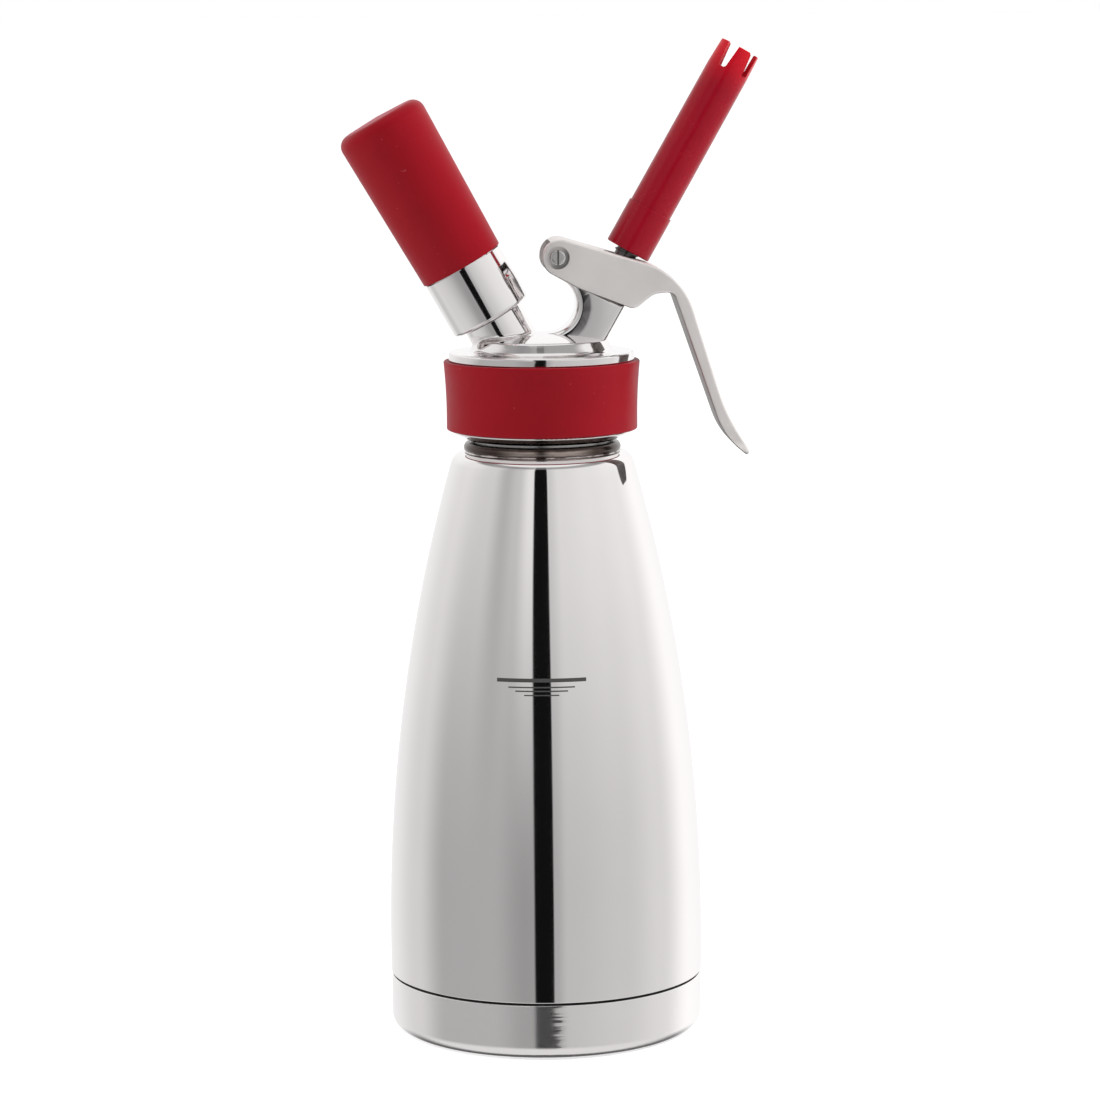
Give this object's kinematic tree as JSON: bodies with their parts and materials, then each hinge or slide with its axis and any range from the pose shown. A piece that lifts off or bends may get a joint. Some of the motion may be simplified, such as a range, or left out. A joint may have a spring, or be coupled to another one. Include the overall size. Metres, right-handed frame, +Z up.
{
  "type": "whipping siphon",
  "caption": "Double-walled steel bottle with a screw-on head that carries a squeeze lever valve, a leaning decorator tip and a leaning gas charger holder.",
  "frame": {"origin": "on the resting plane, under the bottle's axis", "axes": "+Z up along the bottle's axis, +X toward the lever and the decorator tip, -X toward the charger holder"},
  "size_m": [0.1349, 0.103, 0.3238],
  "materials": {
    "polished_steel": "mirror polish",
    "satin_steel": "fine satin",
    "plain_steel": "turned steel",
    "bright_steel": "bright steel",
    "red_silicone": "matte silicone",
    "red_plastic": "moulded, glossy",
    "seal_rubber": "matte rubber",
    "white_plastic": "turned plastic"
  },
  "bodies": {
    "bottle": {"outer_shell": "polished_steel", "inner_vessel": "plain_steel", "neck_ring": "plain_steel", "vacuum_plate": "plain_steel", "base_cup": "polished_steel"},
    "head_carrier": {"head_gasket": "seal_rubber"},
    "head": {"head_casting": "polished_steel", "head_grip_ring": "red_silicone", "guide_bush": "white_plastic", "stem_o_ring": "seal_rubber", "valve_spring": "bright_steel", "piercing_pin": "plain_steel", "charger_seal": "seal_rubber", "check_spring": "bright_steel", "gas_screw": "plain_steel"},
    "check_valve": {"check_ball": "bright_steel"},
    "lever": {"lever": "satin_steel", "pivot_screw": "bright_steel", "pivot_nut": "bright_steel"},
    "valve": {"valve_stem": "plain_steel", "thrust_collar": "plain_steel", "valve_gasket": "seal_rubber", "gasket_nut": "plain_steel"},
    "tip_carrier": {"tip_insert": "plain_steel"},
    "tip": {"decorator_tip": "red_plastic"},
    "charger": {"gas_charger": "plain_steel"},
    "holder": {"holder_core": "polished_steel", "holder_sleeve": "red_silicone"}
  },
  "joints": [
    {"name": "head_lift", "type": "slide", "parent": "bottle", "child": "head_carrier", "axis": [0, 0, 1], "range_m": [0, 0.01201]},
    {"name": "head_turn", "type": "hinge", "parent": "head_carrier", "child": "head", "pos_m": [0, 0, 0.2], "axis": [0, 0, 1], "range_deg": [0, 1080]},
    {"name": "lever_pull", "type": "hinge", "parent": "head", "child": "lever", "pos_m": [0.00494, 0, 0.25428], "axis": [0, 1, 0], "range_deg": [0, 11.7], "stiffness_Nm_per_rad": 0.55, "springref_deg": -14.32},
    {"name": "valve_press", "type": "slide", "parent": "head", "child": "valve", "axis": [-0.4924, 0, -0.8704], "range_m": [0, 0.0041], "deforming": ["valve_spring"]},
    {"name": "tip_lift", "type": "slide", "parent": "valve", "child": "tip_carrier", "axis": [0.4924, 0, 0.8704], "range_m": [0, 0.01101]},
    {"name": "tip_turn", "type": "hinge", "parent": "tip_carrier", "child": "tip", "pos_m": [0.01, 0, 0.2235], "axis": [0.4924, 0, 0.8704], "range_deg": [0, 1980]},
    {"name": "holder_lift", "type": "slide", "parent": "head", "child": "charger", "axis": [-0.4924, 0, 0.8704], "range_m": [0, 0.01001]},
    {"name": "holder_turn", "type": "hinge", "parent": "charger", "child": "holder", "pos_m": [-0.0097, 0, 0.2235], "axis": [-0.4924, 0, 0.8704], "range_deg": [0, 1440]},
    {"name": "check_ball_drop", "type": "slide", "parent": "head", "child": "check_valve", "axis": [0.4924, 0, -0.8704], "range_m": [0, 0.0008], "stiffness_N_per_m": 100, "springref_m": -0.002, "deforming": ["check_spring"]}
  ],
  "couplings": [
    {"joint": "head_lift", "follows": "head_turn", "m_per_rad": 0.00063662},
    {"joint": "valve_press", "follows": "lever_pull", "m_per_rad": 0.02},
    {"joint": "tip_lift", "follows": "tip_turn", "m_per_rad": 0.00031831},
    {"joint": "holder_lift", "follows": "holder_turn", "m_per_rad": 0.00039789}
  ]
}
